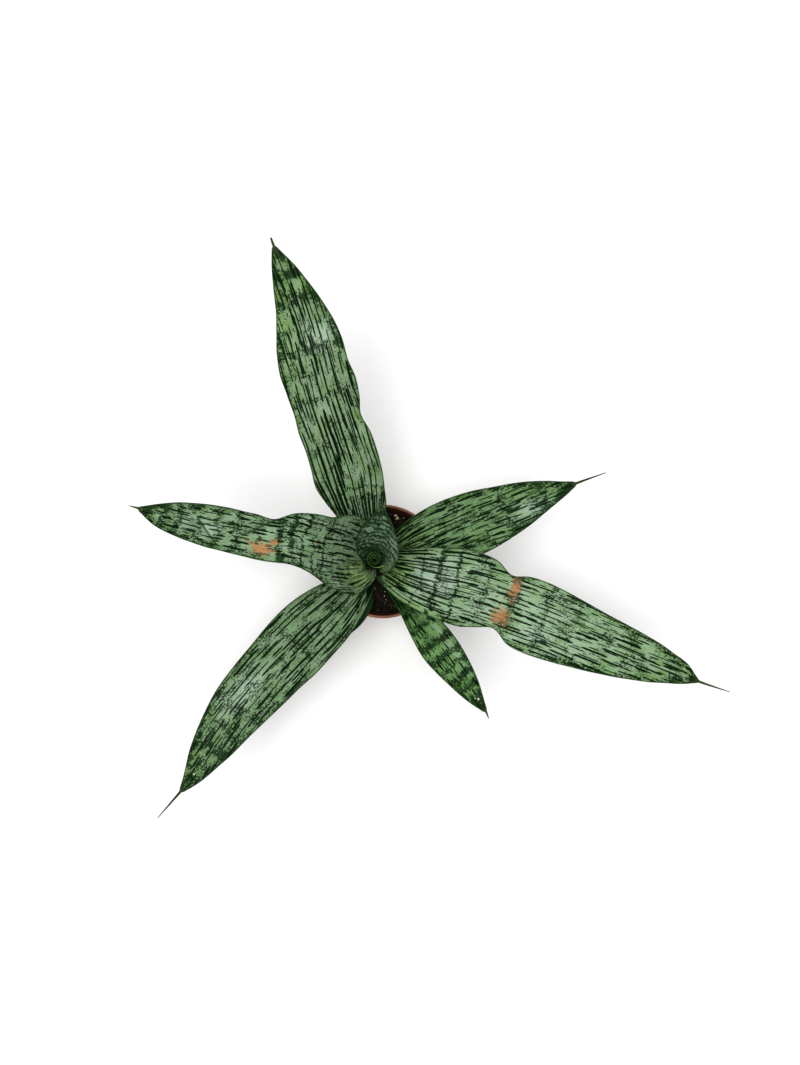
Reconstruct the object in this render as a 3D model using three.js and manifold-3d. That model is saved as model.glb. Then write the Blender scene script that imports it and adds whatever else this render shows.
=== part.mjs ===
// A broad-leaved snake plant in its round nursery pot: eight waved leaves on a short rootstock,
// standing in a bark and perlite mix. Millimetres, +Z up, with the foot of the pot on z = 0 and
// the pot's axis on Z. Azimuths are in degrees from +X towards +Y.

import * as THREE from 'three';
import { mergeVertices } from 'three/addons/utils/BufferGeometryUtils.js';
import Module from 'manifold-3d';

const { clamp, degToRad, lerp, seededRandom } = THREE.MathUtils;

const POT_HEIGHT = 90;
const RIM_RADIUS = 51;
const FOOT_RADIUS = 36;
const WALL = 1.6;
const COLLAR_HEIGHT = 15;
const COLLAR_STEP = 4.4;
const FOOT_RECESS = 2.2;
const DRAIN_HOLES = 6;
const DRAIN_RADIUS = 4;
const DRAIN_CIRCLE = 22;
const POT_SEGMENTS = 56;

const SOIL_LEVEL = 78;
const GAP = 0.3;
const SOIL_SEGMENTS = 36;
const SOIL_LUMPS = 16;
const HEART_HOLE_RADIUS = 10;

const CROWN_X = -8;
const CROWN_Y = 0;
const CROWN_RADIUS = 25;
const LEAF_BASE_Z = 66;
const LEAF_SUNK = 2;

const LEAF_THICKNESS = 3;
const EDGE_THICKNESS = 1;
const AWN_RADIUS = 1.1;
const AWN_TIP_RADIUS = 0.4;
const LEAF_COLUMNS = 6;
const AWN_ROWS = 3;

// Youngest first. rows: quads along the blade. ring: distance of the leaf's foot from the axis
// of the rosette. awn: length of the spike. spine: midline of the upper face. left and right:
// half widths seen looking outwards, from the foot to the tip of the blade. curl: angle of the
// channel across the leaf, in degrees. bank: tilt towards the right margin, in degrees.
// wave: height, length, and phase of the left and right margins.
const LEAVES = [
  {
    name: 'leaf_centre', color: 0x55794a, rows: 18, azimuth: 75, ring: 4.4, awn: 5,
    spine: [[-6, 6, 92], [-5, 10, 120], [-2.5, 17, 150], [0, 25, 175], [1, 33, 196], [1, 35, 201]],
    left: [10, 13, 16, 18, 17, 12, 1.5],
    right: [10, 16, 25, 27, 22, 12.5, 1.5],
    curl: [300, 230, 160, 110, 80, 60],
    wave: [0.6, 60, 0, 100],
  },
  {
    name: 'leaf_west', color: 0x8aa585, rows: 32, azimuth: 167, ring: 7.6, awn: 10,
    spine: [
      [-20, 1, 92], [-30, 2, 120], [-42, 3, 147], [-56, 5, 168], [-70, 8, 182], [-86, 10, 189],
      [-102, 13, 189], [-119, 17, 186], [-137, 21, 181], [-155, 26, 176], [-173, 31, 170],
      [-190, 36, 164], [-204, 40, 161],
    ],
    left: [
      13, 18, 24.5, 31, 35, 34.5, 29, 22.3, 18.6, 17,
      16.4, 16.5, 17, 15.8, 14.3, 13.9, 12, 8.3, 2,
    ],
    right: [
      13, 17, 23, 30, 35.5, 36, 33, 29.6, 28.2, 23,
      15.8, 17.8, 17.2, 16.9, 16.8, 14.6, 11.4, 7, 1.5,
    ],
    curl: [230, 170, 110, 80, 60, 50, 50, 40, 36, 32, 34],
    wave: [1.8, 55, 0, 100],
  },
  {
    name: 'leaf_east', color: 0x8fa98b, rows: 34, azimuth: -20, ring: 11, awn: 30,
    spine: [
      [10, -8, 86], [27, -15, 106], [52, -23, 122], [78, -30, 134], [104, -39, 143],
      [131, -49, 145], [158, -60, 144], [186, -71, 141], [213, -82, 137], [240, -93, 132],
      [264, -103, 127], [291, -112, 124],
    ],
    left: [
      14, 16.4, 19.4, 23, 27, 30, 32.6, 34.2, 33, 30.4, 23.2, 26.8,
      27.4, 26, 24.6, 23.4, 22, 20.4, 18.6, 17.2, 15.5, 12.6, 9.4, 1.8,
    ],
    right: [
      14, 16.2, 18.8, 22, 25, 27.2, 28.6, 30.2, 31, 27.6, 23, 30.6,
      33, 33.4, 32.2, 29.6, 27.3, 25.2, 23.2, 20.2, 16.6, 12, 7.6, 1.5,
    ],
    curl: [190, 120, 70, 50, 40, 30, 38, 36, 34, 30, 28, 34],
    bank: [0, 0, 0, -2, -2, 0, 3, 4, 3, 0, 0],
    wave: [2.2, 70, 40, 200],
  },
  {
    name: 'leaf_north', color: 0x86a380, rows: 32, azimuth: 108, ring: 14.6, awn: 8,
    spine: [
      [-15, 22, 90], [-21, 42, 114], [-28, 70, 139], [-38, 100, 159], [-47, 128, 173],
      [-55, 158, 185], [-64, 188, 193], [-73, 214, 198], [-83, 238, 202], [-85.5, 244.5, 206],
    ],
    left: [
      12, 12.4, 13, 15.3, 20, 26, 29.8, 28, 28.2, 29,
      26.2, 26.8, 28.6, 26.5, 21.4, 16.6, 13.5, 8.8, 2,
    ],
    right: [
      12, 14.2, 17, 21.5, 26, 26.4, 28, 29.2, 28, 24,
      28.2, 30.4, 26.8, 25.8, 24, 19.6, 13.8, 8.2, 1.5,
    ],
    curl: [150, 110, 75, 55, 45, 40, 38, 34, 30, 30, 34],
    bank: [0, 0, 0, 2, 4, 0, -4, -2, 2, 3],
    wave: [2.5, 62, 0, 150],
  },
  {
    name: 'leaf_upper', color: 0x6f9a63, rows: 24, azimuth: 22, ring: 18, awn: 28,
    spine: [
      [18, 9, 84], [34, 14, 99], [54, 21, 109], [78, 30, 118], [102, 38, 126], [125, 47, 133],
      [149, 56, 139], [161, 61, 142], [187, 70, 146],
    ],
    left: [12, 18, 24, 27.5, 28.5, 27.2, 23.3, 18.2, 11.4, 1.8],
    right: [12, 18, 24, 28, 29, 26.3, 21.3, 16.8, 9.6, 2],
    curl: [110, 80, 55, 45, 40, 35, 32, 32],
    wave: [1.5, 80, 0, 90],
  },
  {
    name: 'leaf_southwest', color: 0x7c9d76, rows: 28, azimuth: -131, ring: 18, awn: 30,
    spine: [
      [-25, -23, 84], [-40, -40, 98], [-58, -58, 108], [-76, -77, 117], [-94, -96, 124],
      [-111, -116, 128], [-127, -137, 131], [-142, -159, 132], [-153, -177, 131],
      [-163, -190, 130], [-183, -213, 128],
    ],
    left: [12, 16.5, 22.5, 26.6, 28.6, 29.2, 26.8, 25.9, 24, 20.2, 15.8, 9.8, 1.8],
    right: [12, 16.5, 22, 27.6, 30, 29, 27, 25.9, 24, 20.2, 15.8, 9.8, 1.8],
    curl: [120, 85, 60, 45, 40, 36, 34, 32, 32],
    wave: [1.6, 75, 0, 120],
  },
  {
    name: 'leaf_south', color: 0x4f7a45, rows: 18, azimuth: -54, ring: 21.6, awn: 8,
    spine: [
      [12, -25, 86], [25, -43, 95], [40, -62, 101], [54, -81, 105], [67, -99, 107],
      [80, -118, 108], [88, -129, 108], [91, -136, 107],
    ],
    left: [9, 11, 13, 14.3, 15.2, 13.2, 9.2, 1.2],
    right: [7, 8, 9.4, 14.5, 17, 15, 9.7, 1.8],
    curl: [80, 60, 50, 45, 40, 36],
    wave: [0.8, 60, 0, 100],
  },
  {
    name: 'leaf_under', color: 0x4c7048, rows: 12, azimuth: -116, ring: 21.6, awn: 5,
    spine: [[-22, -26, 84], [-28, -38, 92], [-35, -51, 96], [-42, -64, 98], [-50, -76, 98]],
    left: [9, 13, 17, 17, 12, 1.5],
    right: [9, 12, 14, 14, 10, 1.5],
    curl: [70, 55, 45, 40, 36],
    wave: [0.6, 60, 0, 100],
  },
];

const wasm = await Module();
wasm.setup();

function toSolid(geometry) {
  const bare = geometry.clone();
  bare.deleteAttribute('normal');
  bare.deleteAttribute('uv');
  const merged = mergeVertices(bare, 1e-4);
  return new wasm.Manifold(new wasm.Mesh({
    numProp: 3,
    vertProperties: new Float32Array(merged.attributes.position.array),
    triVerts: new Uint32Array(merged.index.array),
  }));
}

function toGeometry(solid) {
  const mesh = solid.getMesh();
  const geometry = new THREE.BufferGeometry();
  geometry.setAttribute('position', new THREE.BufferAttribute(mesh.vertProperties, 3));
  geometry.setIndex(new THREE.BufferAttribute(mesh.triVerts, 1));
  geometry.computeVertexNormals();
  return geometry;
}

function largestBody(solid) {
  return solid.decompose().sort((a, b) => b.volume() - a.volume())[0];
}

function catmullRom(p0, p1, p2, p3, t) {
  const v0 = (p2 - p0) / 2;
  const v1 = (p3 - p1) / 2;
  const cubic = 2 * p1 - 2 * p2 + v0 + v1;
  const square = -3 * p1 + 3 * p2 - 2 * v0 - v1;
  return cubic * t ** 3 + square * t ** 2 + v0 * t + p1;
}

// Smooth value of an evenly spaced list at t, from 0 at its start to 1 at its end.
function along(values, t) {
  const last = values.length - 1;
  const x = clamp(t, 0, 1) * last;
  const i = Math.min(Math.floor(x), last - 1);
  const before = i > 0 ? values[i - 1] : 2 * values[0] - values[1];
  const after = i + 2 <= last ? values[i + 2] : 2 * values[last] - values[last - 1];
  return catmullRom(before, values[i], values[i + 1], after, x - i);
}

function leafSpine(leaf) {
  const angle = degToRad(leaf.azimuth);
  const outward = new THREE.Vector3(Math.cos(angle), Math.sin(angle), 0);
  const foot = outward.clone().multiplyScalar(leaf.ring);
  foot.add(new THREE.Vector3(CROWN_X, CROWN_Y, LEAF_BASE_Z - LEAF_SUNK));
  const points = [foot, ...leaf.spine.map((p) => new THREE.Vector3(...p))];
  const curve = new THREE.CatmullRomCurve3(points, false, 'catmullrom', 0.5);
  curve.arcLengthDivisions = 400;
  const length = curve.getLength();
  const at = (s) => curve.getPointAt(clamp(s / length, 0, 1));
  return { at, length, blade: length - leaf.awn, outward };
}

// The cross-section of a leaf at a distance s along its spine.
function leafStation(leaf, spine, s) {
  const t = clamp(s / spine.blade, 0, 1);
  const point = spine.at(s);
  const tangent = spine.at(s + 1.5).sub(spine.at(s - 1.5)).normalize();
  const heading = new THREE.Vector3(tangent.x, tangent.y, 0).addScaledVector(spine.outward, 0.3);
  const left = new THREE.Vector3(0, 0, 1).cross(heading);
  left.addScaledVector(tangent, -left.dot(tangent)).normalize();
  if (leaf.bank) left.applyAxisAngle(tangent, degToRad(along(leaf.bank, t)));
  const face = tangent.clone().cross(left);
  const inAwn = s > spine.blade;
  const awnRadius = lerp(AWN_RADIUS, AWN_TIP_RADIUS, clamp((s - spine.blade) / leaf.awn, 0, 1));
  const halfLeft = inAwn ? awnRadius : Math.max(along(leaf.left, t), AWN_RADIUS);
  const halfRight = inAwn ? awnRadius : Math.max(along(leaf.right, t), AWN_RADIUS);
  const curlRadius = (halfLeft + halfRight) / degToRad(along(leaf.curl, t));
  return { s, t, point, tangent, left, face, inAwn, awnRadius, halfLeft, halfRight, curlRadius };
}

// A point of the leaf at u across it, from -1 on the right margin to 1 on the left one.
// On the upper face below is false, and the thickness lies under it.
function leafPoint(leaf, station, u, below, grow) {
  const { s, t, left, face, curlRadius } = station;
  const half = u > 0 ? station.halfLeft + grow : station.halfRight + grow;
  const angle = (half * u) / curlRadius;
  const [height, waveLength, phaseLeft, phaseRight] = leaf.wave;
  const phase = degToRad(u > 0 ? phaseLeft : phaseRight);
  const fade = clamp(4 * t - 0.6, 0, 1) * clamp(5 * (1 - t), 0, 1);
  const wave = height * fade * Math.abs(u) ** 2.5 * Math.sin((2 * Math.PI * s) / waveLength + phase);
  const middle = LEAF_THICKNESS * (1 - 0.35 * t);
  const blade = lerp(EDGE_THICKNESS, middle, 1 - Math.abs(u) ** 1.5);
  const awn = Math.max(0.6, 2 * station.awnRadius * Math.sqrt(1 - u * u));
  const thickness = station.inAwn ? awn : blade;
  const normal = face.clone().multiplyScalar(Math.cos(angle));
  normal.addScaledVector(left, -Math.sin(angle));
  return station.point.clone()
    .addScaledVector(left, curlRadius * Math.sin(angle))
    .addScaledVector(face, curlRadius * (1 - Math.cos(angle)))
    .addScaledVector(normal, wave + (below ? -thickness - grow : grow));
}

// One closed skin: an upper and a lower sheet of the same quads, split along the same diagonals,
// joined round the margins, the foot and the tip. grow swells it evenly, for clearances.
function leafGeometry(leaf, grow = 0) {
  const spine = leafSpine(leaf);
  const lengths = [];
  for (let i = 0; i <= leaf.rows; i += 1) lengths.push((spine.blade * i) / leaf.rows);
  for (let i = 1; i <= AWN_ROWS; i += 1) lengths.push(spine.blade + (leaf.awn * i) / AWN_ROWS);
  const stations = lengths.map((s) => leafStation(leaf, spine, s));
  stations[0].point.addScaledVector(stations[0].tangent, -grow);
  stations.at(-1).point.addScaledVector(stations.at(-1).tangent, grow);

  const across = LEAF_COLUMNS + 1;
  const positions = [];
  for (const below of [false, true]) {
    for (const station of stations) {
      for (let j = 0; j < across; j += 1) {
        const u = (2 * j) / LEAF_COLUMNS - 1;
        positions.push(...leafPoint(leaf, station, u, below, grow).toArray());
      }
    }
  }
  const upper = (i, j) => i * across + j;
  const lower = (i, j) => (stations.length + i) * across + j;
  const index = [];
  const quad = (a, b, c, d) => index.push(a, b, c, a, c, d);
  const rows = stations.length - 1;
  for (let i = 0; i < rows; i += 1) {
    for (let j = 0; j < LEAF_COLUMNS; j += 1) {
      quad(upper(i, j), upper(i + 1, j), upper(i + 1, j + 1), upper(i, j + 1));
      index.push(lower(i, j), lower(i + 1, j + 1), lower(i + 1, j));
      index.push(lower(i, j), lower(i, j + 1), lower(i + 1, j + 1));
    }
    quad(upper(i, 0), lower(i, 0), lower(i + 1, 0), upper(i + 1, 0));
    const last = LEAF_COLUMNS;
    quad(upper(i, last), upper(i + 1, last), lower(i + 1, last), lower(i, last));
  }
  for (let j = 0; j < LEAF_COLUMNS; j += 1) {
    quad(upper(0, j), upper(0, j + 1), lower(0, j + 1), lower(0, j));
    quad(upper(rows, j), lower(rows, j), lower(rows, j + 1), upper(rows, j + 1));
  }
  const geometry = new THREE.BufferGeometry();
  geometry.setAttribute('position', new THREE.Float32BufferAttribute(positions, 3));
  geometry.setIndex(index);
  return geometry;
}

function lathe(profile, segments) {
  return new THREE.LatheGeometry(profile.map(([r, z]) => new THREE.Vector2(r, z)), segments)
    .rotateX(Math.PI / 2);
}

// The wall tapers straight from the foot to the neck, then steps out to the collar.
const COLLAR_Z = POT_HEIGHT - COLLAR_HEIGHT;
const NECK_RADIUS = RIM_RADIUS - 1.8 - COLLAR_STEP;
const innerProfile = [
  [FOOT_RADIUS - WALL, FOOT_RECESS + WALL],
  [NECK_RADIUS - WALL, COLLAR_Z],
  [NECK_RADIUS + COLLAR_STEP - 2 * WALL, COLLAR_Z + WALL],
];

function potGeometry() {
  const floor = FOOT_RECESS + WALL;
  const profile = [
    [0, 0], [10, 0], [11, FOOT_RECESS], [FOOT_RADIUS - 5, FOOT_RECESS], [FOOT_RADIUS - 4, 0],
    [FOOT_RADIUS - 1, 0], [FOOT_RADIUS, 1], [NECK_RADIUS, COLLAR_Z - WALL],
    [NECK_RADIUS + COLLAR_STEP - WALL - 0.4, COLLAR_Z],
    [NECK_RADIUS + COLLAR_STEP - WALL, COLLAR_Z + 0.8],
    [RIM_RADIUS - 0.5, POT_HEIGHT - 3], [RIM_RADIUS, POT_HEIGHT - 2.4],
    [RIM_RADIUS, POT_HEIGHT - 0.7], [RIM_RADIUS - 0.7, POT_HEIGHT],
    [RIM_RADIUS - 2, POT_HEIGHT], [RIM_RADIUS - 2.4, POT_HEIGHT - 0.7],
    ...innerProfile.toReversed(), [0, floor],
  ];
  let pot = toSolid(lathe(profile, POT_SEGMENTS));
  for (let i = 0; i < DRAIN_HOLES; i += 1) {
    const angle = ((i + 0.5) * 2 * Math.PI) / DRAIN_HOLES;
    const hole = new THREE.CylinderGeometry(DRAIN_RADIUS, DRAIN_RADIUS, 12, 14);
    hole.rotateX(Math.PI / 2);
    hole.translate(DRAIN_CIRCLE * Math.cos(angle), DRAIN_CIRCLE * Math.sin(angle), 2);
    pot = pot.subtract(toSolid(hole));
  }
  return toGeometry(pot);
}

// A turned rootstock with a flat top that the leaves stand on, and stubby roots below.
function crownGeometry(grow = 0) {
  const top = LEAF_BASE_Z - GAP + grow;
  const profile = [
    [0, 44 - grow], [8 + grow, 45 - grow], [16 + grow, 50 - grow], [22 + grow, 57 - grow],
    [CROWN_RADIUS + grow, 62 - grow], [CROWN_RADIUS + grow, top], [0, top],
  ];
  let crown = toSolid(lathe(profile, 28));
  seededRandom(11);
  for (let i = 0; i < 7; i += 1) {
    const root = new THREE.ConeGeometry(2.4 + grow, 24 + 2 * grow, 7);
    root.translate(0, 12, 0);
    root.rotateX(Math.PI / 2 + 0.7 + 0.5 * seededRandom());
    root.rotateX(Math.PI).rotateZ(i * 0.9 + seededRandom() * 0.4);
    const angle = i * 0.9;
    root.translate(8 * Math.cos(angle), 8 * Math.sin(angle), 52);
    crown = crown.add(toSolid(root));
  }
  return toGeometry(largestBody(crown)).translate(CROWN_X, CROWN_Y, 0);
}

function soilHeight(x, y) {
  const broad = 0.9 * Math.sin(x / 6.3 + 1.1) * Math.sin(y / 7.1 + 0.4);
  return SOIL_LEVEL + broad + 0.5 * Math.sin(x / 2.9 - y / 3.7);
}

function soilBlock() {
  const [[footRadius, floor], [neckRadius, collar], [collarRadius, ledge]] = innerProfile;
  const profile = [
    [0, floor + GAP], [footRadius - GAP, floor + GAP], [neckRadius - GAP, collar],
    [collarRadius - GAP, ledge + GAP], [collarRadius, SOIL_LEVEL],
    ...[43, 38, 33, 27, 20, 12, 6, 0].map((r) => [r, SOIL_LEVEL]),
  ];
  const block = lathe(profile, SOIL_SEGMENTS);
  const position = block.attributes.position;
  for (let i = 0; i < position.count; i += 1) {
    const [x, y, z] = [position.getX(i), position.getY(i), position.getZ(i)];
    const onTop = z > SOIL_LEVEL - 0.01 && Math.hypot(x, y) < collarRadius - 1;
    if (onTop) position.setZ(i, soilHeight(x, y));
  }
  return toSolid(block);
}

// Lumps of bark and perlite, sunk into the top of the mix.
function addLumps(soil) {
  seededRandom(5);
  let result = soil;
  for (let i = 0; i < SOIL_LUMPS; i += 1) {
    const angle = 2 * Math.PI * seededRandom();
    const radius = 30 + 12 * seededRandom();
    const lump = new THREE.IcosahedronGeometry(2 + 1.4 * seededRandom(), 0);
    lump.scale(1.3, 0.8, 0.7).rotateX(seededRandom()).rotateZ(6 * seededRandom());
    const [x, y] = [radius * Math.cos(angle), radius * Math.sin(angle)];
    lump.translate(x, y, soilHeight(x, y) + 0.3);
    result = result.add(toSolid(lump));
  }
  return result;
}

function material(color, roughness) {
  return new THREE.MeshStandardMaterial({ color, roughness, metalness: 0 });
}

const plant = new THREE.Group();
plant.name = 'potted_snake_plant';

function place(name, geometry, look) {
  const mesh = new THREE.Mesh(geometry, look);
  mesh.name = name;
  plant.add(mesh);
}

place('pot', potGeometry(), material(0xa8583a, 0.6));
place('crown', crownGeometry(), material(0xc9a878, 0.8));

// Each leaf starts LEAF_SUNK below the top of the crown and is cut square where it stands on it,
// and an older leaf gives way to every younger one that it wraps round.
const clearances = [toSolid(crownGeometry(GAP))];
for (const leaf of LEAVES) {
  let blade = toSolid(leafGeometry(leaf));
  for (const younger of clearances) blade = blade.subtract(younger);
  place(leaf.name, toGeometry(largestBody(blade)), material(leaf.color, 0.55));
  clearances.push(toSolid(leafGeometry(leaf, GAP)));
}

let soil = addLumps(soilBlock());
const heart = new THREE.CylinderGeometry(HEART_HOLE_RADIUS, HEART_HOLE_RADIUS, 20, 16);
heart.rotateX(Math.PI / 2).translate(CROWN_X, CROWN_Y, LEAF_BASE_Z + 9);
for (const tool of [toSolid(heart), ...clearances]) {
  soil = soil.subtract(tool);
}
place('soil', toGeometry(largestBody(soil)), material(0x2e211a, 0.95));

export default plant;
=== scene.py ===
"""A broad-leaved snake plant in a terracotta-coloured nursery pot, seen from straight above.

The plant and its pot are given in millimetres; the camera, the lights, the floor and all
finished meshes are in metres.
"""

import math
import random

import bmesh
import bpy
import numpy as np
from mathutils import Euler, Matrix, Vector, noise


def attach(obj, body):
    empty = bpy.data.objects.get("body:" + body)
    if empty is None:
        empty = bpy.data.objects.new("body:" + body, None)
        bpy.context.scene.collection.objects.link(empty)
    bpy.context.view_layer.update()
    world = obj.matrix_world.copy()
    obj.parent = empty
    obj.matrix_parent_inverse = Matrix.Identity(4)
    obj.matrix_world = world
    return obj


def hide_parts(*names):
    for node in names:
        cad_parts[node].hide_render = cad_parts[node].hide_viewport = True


MM = 0.001

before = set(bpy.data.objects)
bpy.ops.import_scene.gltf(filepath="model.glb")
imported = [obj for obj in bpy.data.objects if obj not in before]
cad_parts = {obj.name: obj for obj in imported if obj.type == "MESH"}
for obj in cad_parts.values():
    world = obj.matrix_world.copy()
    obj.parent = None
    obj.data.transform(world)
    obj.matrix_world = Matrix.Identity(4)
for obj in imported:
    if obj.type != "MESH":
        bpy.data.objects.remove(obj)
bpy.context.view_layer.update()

# The camera looks down on the pot from a little to the front. Its tilt is in degrees, and its
# focal length in pixels of the photograph.
CAMERA_PLACE = (0.0152, -0.0480, 0.7908)
CAMERA_TILT = 6.0
PHOTO_SIZE = (800, 1065)
FOCAL_PIXELS = 785
SENSOR = 36.0

# The rosette: its axis, the top of the rootstock that its leaves stand in, and how far they are
# sunk into it.
CROWN_CENTRE = (-8.0, 0.0)
LEAF_BASE_Z = 66.0
LEAF_SUNK = 2.0

# A blade is this thick at its midline and its margins. Towards its tip the midline thins by the
# share THINNING. The powers say how its thickness and its waves are spread across it.
LEAF_THICKNESS = 3.0
EDGE_THICKNESS = 1.0
THINNING = 0.35
THICKNESS_POWER = 1.5
WAVE_POWER = 2.5

# The awn: its radius where it starts and at its end, and the thickness of its sharp sides.
AWN_RADIUS = 1.1
AWN_TIP_RADIUS = 0.2
AWN_EDGE = 0.2

# How finely a leaf is made: the step from row to row, the columns on each face, the points round
# each margin, the samples of its spine, and the reach over which its direction is measured.
ROW_STEP = 1.7
COLUMNS = 30
EDGE_POINTS = 3
SPINE_SAMPLES = 600
TANGENT_REACH = 1.5

# How much of the outward direction is mixed into the way a leaf heads, for where it is upright.
OUTWARD_PART = 0.3

# The shape of each leaf, as in the solids. ring: distance of its foot from the axis of the rosette.
# awn: length of the spike; awn_tip: radius of its end. spine: midline of the upper face. left and
# right: half widths seen looking outwards, from the foot to the tip of the blade. curl: angle of
# the channel across the leaf, in degrees. bank: tilt towards the right margin, in degrees. wave:
# height, length, and phase of the left and right margins.
LEAVES = {
    "leaf_centre": dict(
        azimuth=75, ring=4.4, awn=5,
        spine=[(-6, 6, 92), (-5, 10, 120), (-2.5, 17, 150), (0, 25, 175), (1, 33, 196), (1, 35, 201)],
        left=[10, 13, 16, 18, 17, 12, 1.5],
        right=[10, 16, 25, 27, 22, 12.5, 1.5],
        curl=[300, 230, 160, 110, 80, 60],
        wave=(0.6, 60, 0, 100),
    ),
    "leaf_west": dict(
        azimuth=167, ring=7.6, awn=10,
        spine=[
            (-20, 1, 92), (-30, 2, 120), (-42, 3, 147), (-56, 5, 168), (-70, 8, 182), (-86, 10, 189),
            (-102, 13, 189), (-119, 17, 186), (-137, 21, 181), (-155, 26, 176), (-173, 31, 170),
            (-190, 36, 164), (-204, 40, 161),
        ],
        left=[
            13, 18, 24.5, 31, 35, 34.5, 29, 22.3, 18.6, 17,
            16.4, 16.5, 17, 15.8, 14.3, 13.9, 12, 8.3, 2,
        ],
        right=[
            13, 17, 23, 30, 35.5, 36, 33, 29.6, 28.2, 23,
            15.8, 17.8, 17.2, 16.9, 16.8, 14.6, 11.4, 7, 1.5,
        ],
        curl=[230, 170, 110, 80, 60, 50, 50, 40, 36, 32, 34],
        wave=(1.8, 55, 0, 100),
    ),
    "leaf_east": dict(
        azimuth=-20, ring=11, awn=30,
        spine=[
            (10, -8, 86), (27, -15, 106), (52, -23, 122), (78, -30, 134), (104, -39, 143),
            (131, -49, 145), (158, -60, 144), (186, -71, 141), (213, -82, 137), (240, -93, 132),
            (264, -103, 127), (291, -112, 124),
        ],
        left=[
            14, 16.4, 19.4, 23, 27, 30, 32.6, 34.2, 33, 30.4, 23.2, 26.8,
            27.4, 26, 24.6, 23.4, 22, 20.4, 18.6, 17.2, 15.5, 12.6, 9.4, 1.8,
        ],
        right=[
            14, 16.2, 18.8, 22, 25, 27.2, 28.6, 30.2, 31, 27.6, 23, 30.6,
            33, 33.4, 32.2, 29.6, 27.3, 25.2, 23.2, 20.2, 16.6, 12, 7.6, 1.5,
        ],
        curl=[190, 120, 70, 50, 40, 30, 38, 36, 34, 30, 28, 34],
        bank=[0, 0, 0, -2, -2, 0, 3, 4, 3, 0, 0],
        wave=(2.2, 70, 40, 200),
    ),
    "leaf_north": dict(
        azimuth=108, ring=14.6, awn=8, awn_tip=0.7,
        spine=[
            (-15, 22, 90), (-21, 42, 114), (-28, 70, 139), (-38, 100, 159), (-47, 128, 173),
            (-55, 158, 185), (-64, 188, 193), (-73, 214, 198), (-83, 238, 202), (-85.5, 244.5, 206),
        ],
        left=[
            12, 12.4, 13, 15.3, 20, 26, 29.8, 28, 28.2, 29,
            26.2, 26.8, 28.6, 26.5, 21.4, 16.6, 13.5, 8.8, 2,
        ],
        right=[
            12, 14.2, 17, 21.5, 26, 26.4, 28, 29.2, 28, 24,
            28.2, 30.4, 26.8, 25.8, 24, 19.6, 13.8, 8.2, 1.5,
        ],
        curl=[150, 110, 75, 55, 45, 40, 38, 34, 30, 30, 34],
        bank=[0, 0, 0, 2, 4, 0, -4, -2, 2, 3],
        wave=(2.5, 62, 0, 150),
    ),
    "leaf_upper": dict(
        azimuth=22, ring=18, awn=28,
        spine=[
            (18, 9, 84), (34, 14, 99), (54, 21, 109), (78, 30, 118), (102, 38, 126), (125, 47, 133),
            (149, 56, 139), (161, 61, 142), (187, 70, 146),
        ],
        left=[12, 18, 24, 27.5, 28.5, 27.2, 23.3, 18.2, 11.4, 1.8],
        right=[12, 18, 24, 28, 29, 26.3, 21.3, 16.8, 9.6, 2],
        curl=[110, 80, 55, 45, 40, 35, 32, 32],
        wave=(1.5, 80, 0, 90),
    ),
    "leaf_southwest": dict(
        azimuth=-131, ring=18, awn=30,
        spine=[
            (-25, -23, 84), (-40, -40, 98), (-58, -58, 108), (-76, -77, 117), (-94, -96, 124),
            (-111, -116, 128), (-127, -137, 131), (-142, -159, 132), (-153, -177, 131),
            (-163, -190, 130), (-183, -213, 128),
        ],
        left=[12, 16.5, 22.5, 26.6, 28.6, 29.2, 26.8, 25.9, 24, 20.2, 15.8, 9.8, 1.8],
        right=[12, 16.5, 22, 27.6, 30, 29, 27, 25.9, 24, 20.2, 15.8, 9.8, 1.8],
        curl=[120, 85, 60, 45, 40, 36, 34, 32, 32],
        wave=(1.6, 75, 0, 120),
    ),
    "leaf_south": dict(
        azimuth=-54, ring=21.6, awn=8,
        spine=[
            (12, -25, 86), (25, -43, 95), (40, -62, 101), (54, -81, 105), (67, -99, 107),
            (80, -118, 108), (88, -129, 108), (91, -136, 107),
        ],
        left=[9, 11, 13, 14.3, 15.2, 13.2, 9.2, 1.2],
        right=[7, 8, 9.4, 14.5, 17, 15, 9.7, 1.8],
        curl=[80, 60, 50, 45, 40, 36],
        wave=(0.8, 60, 0, 100),
    ),
    "leaf_under": dict(
        azimuth=-116, ring=21.6, awn=5,
        spine=[(-22, -26, 84), (-28, -38, 92), (-35, -51, 96), (-42, -64, 98), (-50, -76, 98)],
        left=[9, 13, 17, 17, 12, 1.5],
        right=[9, 12, 14, 14, 10, 1.5],
        curl=[70, 55, 45, 40, 36],
        wave=(0.6, 60, 0, 100),
    ),
}


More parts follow.
